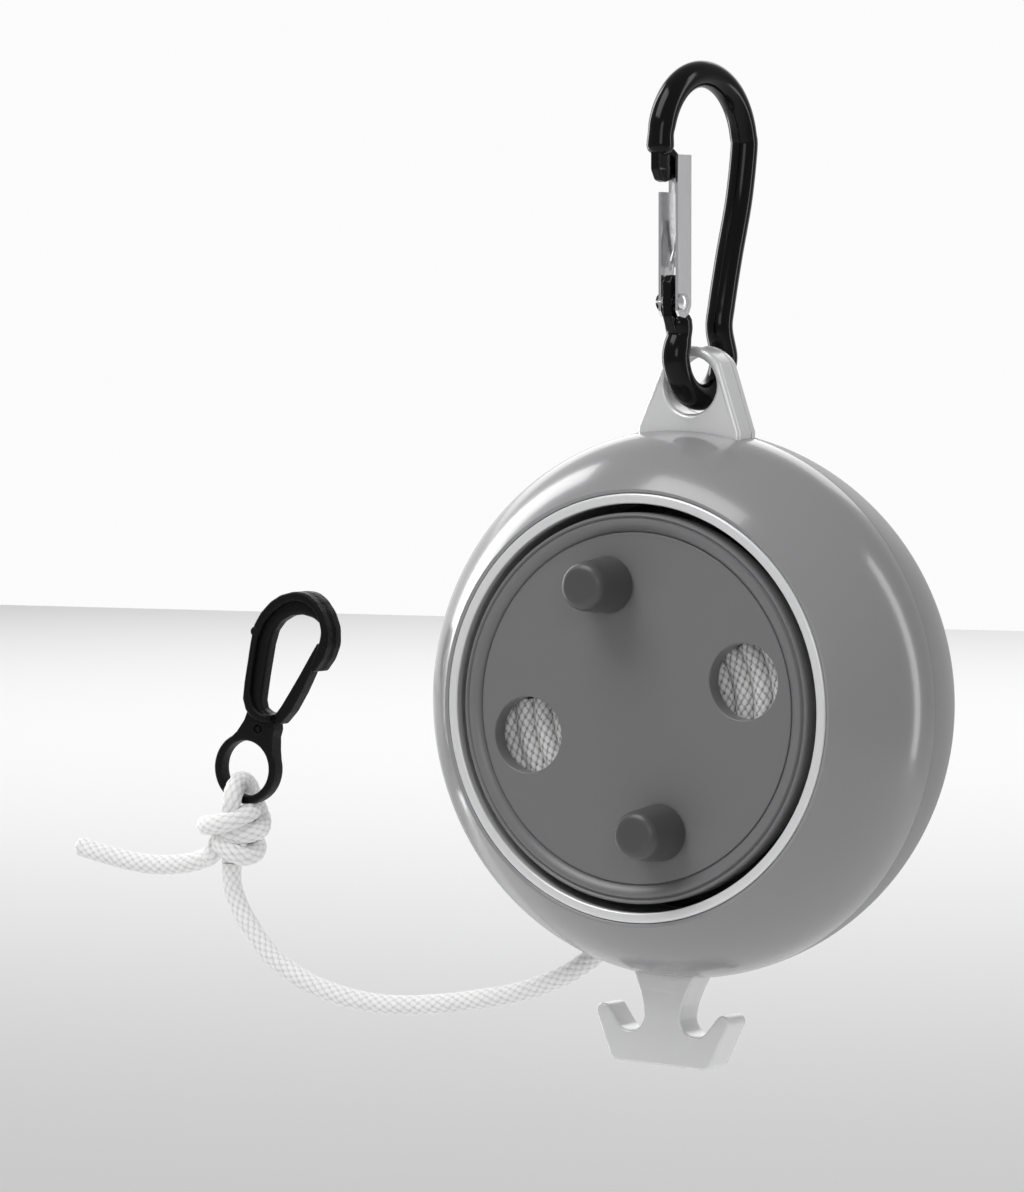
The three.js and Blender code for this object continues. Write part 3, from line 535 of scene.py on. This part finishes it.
FRONT_FACE, BACK_FACE, SEAM = -18.1, 25.0, 1.3
HOUSING_RADIUS, FRONT_DEPTH, REAR_DEPTH, WALL = 47, 29.1, 41.7, 2
DOME_END = 22.6  # where the rear dome meets the round into the flat back
PLATE_HALF = 3.3  # the two frame plates together are twice this thick
SLOT_HALF = 3.6
EYE_SLOT, HOOK_SLOT = 10.1, 6.7
SCREW_CIRCLE, WELL = 40.6, 2.95
CAP_WELL, WELL_WALL, AXLE_HOLE = 9.2, 11.2, 4.6


def dome(y, inset=0.0):
    """The shells' outer radius at y, or that of a surface inset from it."""
    depth = (FRONT_DEPTH if y < 0 else REAR_DEPTH) - inset
    return (HOUSING_RADIUS - inset) * math.sqrt(max(0.0, 1 - (y / depth) ** 2))


def stretch(low, high, steps, inset=0.0):
    """Profile points along the dome from one y to another."""
    return [(dome(low + (high - low) * k / steps, inset), low + (high - low) * k / steps)
            for k in range(steps + 1)]


def plate_slots():
    """What the eye and the double hook pass through, to be cut from either shell."""
    return [
        raw("slot", box((-EYE_SLOT, -SLOT_HALF, 40), (EYE_SLOT, SLOT_HALF, 49)), REEL),
        raw("slot", box((-HOOK_SLOT, -SLOT_HALF, -49), (HOOK_SLOT, SLOT_HALF, -40)), REEL),
    ]


inner, outer = dome(FRONT_FACE) - 2.25, dome(FRONT_FACE) - 0.5
lip = outer + 0.06
front = raw("shell_front", lathe([
    (lip, -15.1), (lip, -17.6), (lip + 0.05, -17.78), (lip + 0.2, -17.9), *stretch(-17.95, 0, 48),
    (HOUSING_RADIUS, SEAM), (46.95, 1.4), (46.85, 1.42), (45.2, 1.42), (45, SEAM),
    *stretch(0, -13.4, 16, WALL), (lip + 1, -15.1),
], FINE), REEL)
combine(front, plate_slots())
dress(front, SHELL, "housing", ["front_shell"])

corner = dome(DOME_END)
dome_edge = Vector((corner, DOME_END))
bend = Vector((corner - 1.25, 24.7))
flat_edge = Vector((corner - 3.3, BACK_FACE))
back_round = [tuple(dome_edge.lerp(bend, t).lerp(bend.lerp(flat_edge, t), t))
              for t in (k / 8 for k in range(1, 9))]
GUIDE_ANGLE, GUIDE_PLANE, GUIDE_TURN, GUIDE_BORE = 248, 9, -318, 4.7
guide_place = REEL @ shift(
    dome(GUIDE_PLANE) * math.cos(math.radians(GUIDE_ANGLE)), GUIDE_PLANE,
    dome(GUIDE_PLANE) * math.sin(math.radians(GUIDE_ANGLE)),
) @ turn("Y", GUIDE_TURN) @ turn("X", 90)
screws = [(SCREW_CIRCLE * math.cos(a), SCREW_CIRCLE * math.sin(a))
          for a in (math.radians(45 + 90 * k) for k in range(4))]
rear = raw("shell_rear", lathe([
    (45.2, 1.48), (46.82, 1.48), (46.92, 1.5), (dome(1.6), 1.6), *stretch(2, DOME_END, 36), *back_round,
    (9.7, BACK_FACE), (9.35, 24.9), (CAP_WELL, 24.6), (CAP_WELL, 20.8), (AXLE_HOLE, 20.8), (AXLE_HOLE, 18.8),
    (WELL_WALL, 18.8), (WELL_WALL, 23), (37, 23), *stretch(21.4, 2, 16, WALL), (45, SEAM + 0.6),
], FINE), REEL)
combine(rear, [
    *plate_slots(),
    raw("bore", rod(0, 0, GUIDE_BORE, -8, 8), guide_place),
    *[raw("well", rod(x, z, WELL, 9.9, 30), REEL) for x, z in screws],
])
dress(rear, BACK_SHELL, "housing", ["rear_shell"])

# Screw bosses: tubes trimmed to the inside of the rear shell's skin
for i, (x, z) in enumerate(screws):
    tube = lathe([
        (WELL, 12), (1.5, 12), (1.5, 3.6), (3.2, 3.6), (3.2, 10), (4.4, 10), (4.4, 26), (WELL, 26)], 40)
    boss = raw(f"screw_boss_{i + 1}", moved(tube, x, 0, z), REEL)
    inside = lathe([(0, 3), *stretch(3, DOME_END, 16, 0.1), (corner - 1.3, 24.3), (0, 24.7)], 96)
    combine(boss, [raw("inside", inside, REEL)], "INTERSECT")
    dress(boss, BACK_SHELL, "housing")

bezel = raw("bezel", lathe([
    (inner, -17.75), (inner + 0.08, -17.95), (inner + 0.3, FRONT_FACE), (outer - 0.55, FRONT_FACE),
    (outer - 0.2, -18.0), (outer - 0.05, -17.85), (outer, -17.6), (outer, -5.2), (outer + 2.2, -5.2),
    (outer + 2.2, -3.6), (inner + 0.5, -3.6), (inner + 0.5, -15.9), (inner, -16.4),
], FINE), REEL)
dress(bezel, SILVER, "housing", ["front_bezel"])

cap = raw("cap", lathe([
    (0, 23.9), (8.7, 23.9), (8.9, 24.1), (8.9, 24.8), (8.8, 24.95), (8.6, BACK_FACE), (0, BACK_FACE),
], MEDIUM), REEL)
dress(cap, BACK_SHELL, "housing", ["back_cap"])

# Frame plates: the eye above and the double hook below

RING_IN, RING_OUT = 35.3, 44.2
FRONT_LAYER, REAR_LAYER = (-PLATE_HALF, SEAM), (1.6, PLATE_HALF)
EYE_FOOT, EYE_ROUND, EYE_BORE = 9.8, 6.7, 4.9
# The eye's sides lean in as they rise, so its round starts above the level
lean = math.degrees(math.atan2(EYE_FOOT - EYE_ROUND, 7.4)) * 1.6
eye_outline = [
    (EYE_FOOT, 41), (EYE_FOOT, 46.9), *arc(0, EYE_HEIGHT, EYE_ROUND, lean, 180 - lean, 32),
    (-EYE_FOOT, 46.9), (-EYE_FOOT, 41),
]
eye_hole = circle(0, EYE_HEIGHT, EYE_BORE)
# Half of the double hook, from the ring down: its neck, a notch, a prong's end and the lower corner
half = rounded([
    (0, -41, 0), (5.9, -41, 0), (5.9, -46.4, 1.5), (4.6, -49.4, 4), (3.8, -51.6, 3),
    *[(x, y, 0) for x, y in arc(6.4, -53.7, 2.9, 180, 315, 16)],
    *[(x, y, 0) for x, y in arc(11.6, -53.7, 1.3, 152, -24, 14)],
    *[(x, y, 0) for x, y in arc(8.05, -60.15, 2, -27, -90, 10)], (0, -62.15, 0),
])
hook_outline = half + [(-x, y) for x, y in reversed(half)][1:-1]


def plate_ring(low, high):
    return lathe([(RING_IN, low), (RING_OUT, low), (RING_OUT, high), (RING_IN, high)], FINE)


plate_front = merged(
    plate_ring(*FRONT_LAYER),
    slab(eye_outline, [eye_hole], *FRONT_LAYER, 0.85, 0.1),
    slab(hook_outline, [], -PLATE_HALF, PLATE_HALF, 0.45, 0.6),
)
dress(raw("plate_front", plate_front, REEL), SILVER, "housing", ["frame_front"])
plate_rear = merged(plate_ring(*REAR_LAYER), slab(eye_outline, [eye_hole], *REAR_LAYER, 0.1, 0.7))
dress(raw("plate_rear", plate_rear, REEL), SILVER, "housing", ["frame_rear"])

# Spool, in its own frame: peep holes along x, pegs along z

FLAT, RIM, FACE, FACE_BACK = 29.75, 33.05, -17.7, -14.3
PEEP, PIN = 6.45, 1.8
PATTERN = FLAT - 1.95 - PEEP  # from the axis to the peep holes and the pegs
peeps = [circle(side * PATTERN, 0, PEEP, 72) for side in (-1, 1)]
pins = [circle(0, side * PATTERN, PIN, 32) for side in (-1, 1)]
bead = [
    (FLAT - 0.02, -17.3), (FLAT + 0.12, -17.35), (FLAT + 0.28, -17.8), (FLAT + 0.7, -18.15),
    (FLAT + 1.2, -18.43), (FLAT + 1.7, -18.55), (FLAT + 2.1, -18.45), (FLAT + 2.32, -18.1),
    (FLAT + 2.42, -17.95), (FLAT + 2.55, -18.1), (FLAT + 2.8, -18.28), (FLAT + 3.05, -18.2),
    (FLAT + 3.25, -17.9), (RIM, -17.5), (RIM, -14.4), (RIM - 0.15, FACE_BACK), (FLAT - 0.02, FACE_BACK),
]
spigot = [(7.9, FACE_BACK), (9.7, FACE_BACK), (9.7, -9.4), (9.5, -9.3), (8.1, -9.3), (7.9, -9.5)]
spool_parts = merged(
    slab(circle(0, 0, FLAT, FINE), peeps + pins, FACE, FACE_BACK, 0.28, 0.2),
    lathe(bead, FINE),
    lathe(spigot, MEDIUM),
)
dress(raw("spool_face", spool_parts, SPOOL), DISC, "spool", ["spool_front"])

peg = lathe([
    (PIN, -18.0), (4.7, -18.0), (4.85, -18.15), (4.84, -18.5), (4.16, -25.9), (4.06, -26.35), (3.86, -26.78),
    (3.55, -27.12), (3.15, -27.35), (2.7, -27.46), (2.2, -27.5), (0, -27.5), (0, -24.9), (PIN, -24.9),
], MEDIUM)
for index, side in ((1, 1), (2, -1)):
    grip = raw(f"grip_{index}", moved(peg, 0, 0, side * PATTERN), SPOOL)
    dress(grip, PEG, f"peg_{index}", [f"finger_peg_{index}"])

# Wound line: plain rings underneath, braid where the peep holes show it. The plain rings carry no painted
# shade value, so they take the finish's near-black low colour as painted shade between the turns.

FIRST_TURN, TURN_PITCH, FRONT_TURNS = 14.1, 3.62, 5
EDGE_RADIUS, EDGE_TURNS, EDGE_STEPS = 29.6, 7, 64
HUB_RADIUS, WOUND_FRONT, WOUND_BACK = 12.3, -10.7, 14.9
turns = [FIRST_TURN + TURN_PITCH * k for k in range(FRONT_TURNS)]
surface = []
for radius in turns:
    surface += arc(radius, WOUND_FRONT, 1.7, 175, 365, 10)
edge_turns = []
for k in range(EDGE_STEPS + 1):
    dip = 1 - math.cos(2 * math.pi * k / EDGE_STEPS * EDGE_TURNS)
    edge_turns.append((EDGE_RADIUS - 0.35 * dip, -10.3 + 24.8 * k / EDGE_STEPS))
wound = raw("wound", lathe([
    (HUB_RADIUS, WOUND_FRONT), *surface, (EDGE_RADIUS, -10.6), *edge_turns, (29.3, WOUND_BACK),
    (HUB_RADIUS, WOUND_BACK),
], FINE), SPOOL)
dress(wound, WOUND, "spool", ["wound_line"])
for i, radius in enumerate(turns):
    span = 30 * 21.4 / radius * 0.6  # degrees to either side, so that every piece is as long as the others
    level = -11.1 + 0.2 * (i % 2)
    for name, middle in (("a", 0), ("b", 180)):
        ring = [(x, level, z) for x, z in arc(0, 0, radius, middle - span, middle + span, 24)]
        braid = sweep(smooth_path(ring, STEP), SIDES, woven(1.84, 14 + i), (False, False))
        braid = raw(f"turn_{name}_{i + 1}", braid, SPOOL)
        dress(braid, WOUND, "spool", angle=180, weighted=False)

# Carabiner: v is up from the eye's centre, and u points away from the gate

WIRE_RADIUS, BLADE_HALF = 2.35, 0.9
wire_route = [
    (-6.2, 10.9), (-5.9, 8.6), *arc(0.3, 5.2, 7.2, 180, 360, 12), (6.1, 9.6), (6.8, 13.6), (9, 21.8),
    (12, 31.6), *arc(1, 40.3, 12.6, 0, 180, 16),
]
wire_path = smooth_path([(0, u, v) for u, v in wire_route], 0.5)
wire_length = sum((b - a).length for a, b in zip(wire_path, wire_path[1:]))


def wire_radius(walked, _share):
    """The wire, a little thinner where it runs into its flattened ends."""
    waist = 0.22 * math.exp(-((walked - 2.6) / 1.0) ** 2)
    neck = 0.12 * math.exp(-((wire_length - walked - 2.2) / 1.2) ** 2)
    return WIRE_RADIUS - waist - neck, 0.5


def laid_in_uv(shape):
    """A shape drawn in x and z, or round y, turned to the carabiner's u and v."""
    return [(v[1], v[0], v[2]) for v in shape[0]], shape[1]


wire = sweep(wire_path, 40, wire_radius)[:2]
RIVET_U, RIVET_V = -8.1, 14.1
hinge_outline = rounded([
    (-8.6, 9.2, 0), (-9.7, 11.6, 1), (-9.8, 17.4, 1), (-8.9, 18.7, 0.8), (-7.2, 18.7, 0.8), (-6.4, 17.6, 0.8),
    (-6, 9.4, 0),
])
nose_outline = rounded([
    (-13.3, 40.9, 0), (-13.3, 36.4, 1.4), (-12.2, 34.6, 1), (-10.9, 34.3, 0.8), (-6.2, 35.4, 1.2),
    (-6.2, 38.4, 1.2), (-9.9, 40.9, 0),
])
blades = laid_in_uv(merged(
    slab(hinge_outline, [circle(RIVET_U, RIVET_V, 1.05, 32)], -BLADE_HALF, BLADE_HALF, 0.3, 0.3),
    slab(nose_outline, [], -BLADE_HALF, BLADE_HALF, 0.35, 0.35),
))
hanger = raw("hanger", merged(wire, blades), CARABINER)
dress(hanger, BLACK, "carabiner", ["carabiner_body"])

rivet = lathe([
    (0, -2.9), (0.5, -2.86), (0.95, -2.72), (1.3, -2.5), (1.5, -2.3), (0.8, -2.3), (0.8, 2.3), (1.5, 2.3),
    (1.3, 2.5), (0.95, 2.72), (0.5, 2.86), (0, 2.9),
], 32)
rivet = raw("rivet", moved(laid_in_uv(rivet), 0, RIVET_U, RIVET_V), CARABINER)
dress(rivet, STEEL, "gate", ["gate_rivet"], angle=50)

# Snap hook, in its ring's frame: a raised rim round a thinner web, a neck and the ring

NECK_HALF, WEB_HALF, RIM_HALF, KEEPER_HALF = 1.7, 1.6, 2.6, 1.5
RING_MIDDLE, RING_REACH = 5.65, 0.75
# From the neck round the back and the crown to the nose; then back along the rim's or the web's inside
outside = [
    (-2.5, 10.2, 1.2), (-3.7, 11.9, 1.5), (-4.3, 14.9, 4), (-5.3, 22, 8), (-5.6, 25, 4), (-4.9, 27.7, 4),
    (-3.6, 30.2, 4), (-2, 32, 4), (0.4, 33.5, 4), (2.8, 34.1, 4), (5, 33.4, 4), (7.2, 31.9, 4), (9, 29.7, 4),
    (10, 26.8, 4), (9.8, 24, 4), (8.8, 21.3, 0.8), (7.75, 21.4, 0.4),
]
web_inside = [
    (7.98, 24, 3), (8.05, 26.9, 2), (8, 28.2, 2), (6.9, 29.5, 2.5), (5, 30.1, 3), (2.6, 29.9, 3),
    (0.4, 28.9, 3), (-1.2, 27.2, 3), (-2, 25.2, 3), (-2, 22.6, 4), (-1.3, 17, 8), (-0.6, 12.6, 1.5),
    (0.2, 11.3, 1), (1.6, 10.9, 1), (2.6, 11.1, 0.2), (3.1, 9.6, 0.2), (0, 9.5, 3),
]
rim_inside = [
    (8.05, 24, 3), (8.2, 26.9, 2), (8, 28.6, 3), (6.9, 30.4, 4), (5, 31.9, 4), (2.6, 32.4, 4), (0.6, 31.8, 4),
    (-0.9, 30.6, 4), (-2.5, 28.7, 4), (-3.7, 26.3, 4), (-4.1, 23.1, 5), (-3.4, 17.5, 8), (-2.6, 13.4, 2),
    (-1.6, 11.5, 2), (0.2, 10.8, 2), (1.7, 10.75, 1), (2.6, 11.1, 0.2), (3.1, 9.8, 0.4), (1.4, 9.25, 1.5),
    (-0.8, 9.3, 2),
]
neck_outline = rounded([
    (-4.5, 4.1, 0), (-3.5, 5.8, 1.5), (-2.7, 8.2, 1.5), (-2.5, 10.6, 0.6), (0.8, 10.3, 0.8), (3.1, 10.2, 0.5),
    (3.8, 8.6, 1), (3.8, 7.2, 1.5), (4.5, 5.0, 1.5), (5.35, 3.0, 0), (5.0, 2.7, 0), (4.6, 3.4, 0),
    (3, 4.9, 0), (0, 5.7, 0), (-3, 4.9, 0), (-4, 4.1, 0),
], 4)
keeper_outline = rounded([
    (2.98, 11.27, 0.3), (3.5, 9.75, 0.3), (4.5, 9.9, 0.8), (5.9, 12.8, 5), (6.9, 16.8, 6), (7.5, 20.4, 6),
    (7.8, 24, 3), (7.9, 26.2, 0.3), (7.3, 26.2, 0.3), (6.6, 23.6, 5), (5.7, 20, 8), (4.7, 16.4, 8),
    (3.7, 13, 3),
], 4)
NECK_MARK = (0.5, 7.6)


def squared(value, power):
    """Brings a round nearer to a square."""
    return math.copysign(abs(value) ** power, value)


ring_profile = [(RING_MIDDLE + RING_REACH * squared(math.cos(a), 0.7), NECK_HALF * squared(math.sin(a), 0.5))
                for a in (2 * math.pi * k / 28 for k in range(28))]
hook_shape = merged(
    lathe(ring_profile, MEDIUM),
    slab(rounded(outside + web_inside, 5), [], -WEB_HALF, WEB_HALF, 0.9, 0.9, 5),
    slab(rounded(outside + rim_inside, 5), [], -RIM_HALF, RIM_HALF, 0.45, 0.45),
    slab(neck_outline, [circle(*NECK_MARK, 0.8, 24)], -NECK_HALF, NECK_HALF, 0.25, 0.25, 3),
    slab(circle(*NECK_MARK, 0.55, 20), [], -1.55, 1.55, 0.2, 0.2, 2),
    slab(circle(-5.0, 24.1, 0.85, 28), [], -RIM_HALF - 0.08, RIM_HALF + 0.08, 0.35, 0.35, 3),
)
hook = dress(raw("line_snap", hook_shape, SNAP), HOOK, "housing", ["snap_hook"])
keeper = raw("keeper", slab(keeper_outline, [], -KEEPER_HALF, KEEPER_HALF, 0.3, 0.3, 3), SNAP)
dress(keeper, HOOK, "hook_tongue", ["snap_tongue"])

# CAD pieces shown as they are: node, finish, slot and how far its edges are eased

SHARP = 30  # degrees
for name, finish, slot, width in [
    ("gate", STEEL, "bright_steel", 0.14), ("gate_spring", STEEL, "bright_steel", 0),
    ("line_guide", PLAIN, "plain_black", 0.25), ("axle_bushing", PLAIN, "plain_black", 0.1),
    ("axle_washer", STEEL, "bright_steel", 0.1), ("axle_screw", STEEL, "bright_steel", 0.15),
    ("peg_pin_1", STEEL, "bright_steel", 0.15), ("peg_pin_2", STEEL, "bright_steel", 0.15),
    ("housing_screw_1", STEEL, "bright_steel", 0.12), ("housing_screw_2", STEEL, "bright_steel", 0.12),
    ("housing_screw_3", STEEL, "bright_steel", 0.12), ("housing_screw_4", STEEL, "bright_steel", 0.12),
    ("spool_hub", DISC, "spool_grey", 0.2), ("spool_rear_flange", DISC, "spool_grey", 0.3),
]:
    made = frame["nodes"][name]
    smooth(made, finish, SHARP)
    if width:
        bevel = made.modifiers.new("bevel", "BEVEL")
        bevel.width = width * MM
        bevel.segments = 3
        bevel.limit_method = "ANGLE"
        bevel.angle_limit = math.radians(SHARP)

# Stage

FLOOR_REACH, FLOOR_LEVEL = 6, -0.4
floor = bpy.data.objects.new("floor", bpy.data.meshes.new("floor"))
bpy.context.scene.collection.objects.link(floor)
floor.data.from_pydata([
    (-FLOOR_REACH, -FLOOR_REACH, FLOOR_LEVEL), (FLOOR_REACH, -FLOOR_REACH, FLOOR_LEVEL),
    (FLOOR_REACH, FLOOR_REACH, FLOOR_LEVEL), (-FLOOR_REACH, FLOOR_REACH, FLOOR_LEVEL),
], [], [(0, 1, 2, 3)])
floor.data.materials.append(material("pale_floor", (0.86, 0.86, 0.86), 0.9, specular=0.0))


def lamp(name, place, aim, size, power, size_y=None):
    """A soft panel; places in metres, power in watts."""
    light = bpy.data.lights.new(name, "AREA")
    light.shape = "RECTANGLE"
    light.size = size
    light.size_y = size_y or size
    light.energy = power
    made = bpy.data.objects.new(name, light)
    bpy.context.scene.collection.objects.link(made)
    made.location = place
    made.rotation_mode = "QUATERNION"
    made.rotation_quaternion = (Vector(aim) - Vector(place)).to_track_quat("-Z", "Y")
    return made


middle = tuple(centre)
lamp("key_top", (-0.25, -0.55, 0.8), middle, 0.7, 7.5)
lamp("strip_left", (-0.8, 0.2, 0.1), middle, 0.2, 4.2, 1.1)
lamp("strip_right", (0.72, 0.5, 0.1), middle, 0.14, 1.8, 1.0)
lamp("fill_front", (0.9, -1.4, 0.35), middle, 0.6, 3.2)
lamp("far_floor", (-2.2, 4.2, 1.4), (-2.2, 4.2, FLOOR_LEVEL), 4.5, 72)

# A dim room, with a lit backdrop behind the object as the camera sees it
ROOM, BACKDROP = (0.34, 0.34, 0.345, 1), (0.97, 0.97, 0.97, 1)
world = bpy.data.worlds.new("studio")
bpy.context.scene.world = world
world.use_nodes = True
tree = world.node_tree
place = tree.nodes.new("ShaderNodeTexCoord")
towards = tree.nodes.new("ShaderNodeVectorMath")
towards.operation = "DOT_PRODUCT"
towards.inputs[1].default_value = (-back.x, -back.y, 0)
ramp = tree.nodes.new("ShaderNodeValToRGB")
ramp.color_ramp.elements[0].position = 0.55
ramp.color_ramp.elements[0].color = ROOM
ramp.color_ramp.elements[1].position = 0.95
ramp.color_ramp.elements[1].color = BACKDROP
tree.links.new(place.outputs["Generated"], towards.inputs[0])
tree.links.new(towards.outputs["Value"], ramp.inputs["Fac"])
tree.links.new(ramp.outputs["Color"], tree.nodes["Background"].inputs["Color"])
bpy.context.scene.view_settings.view_transform = "Standard"
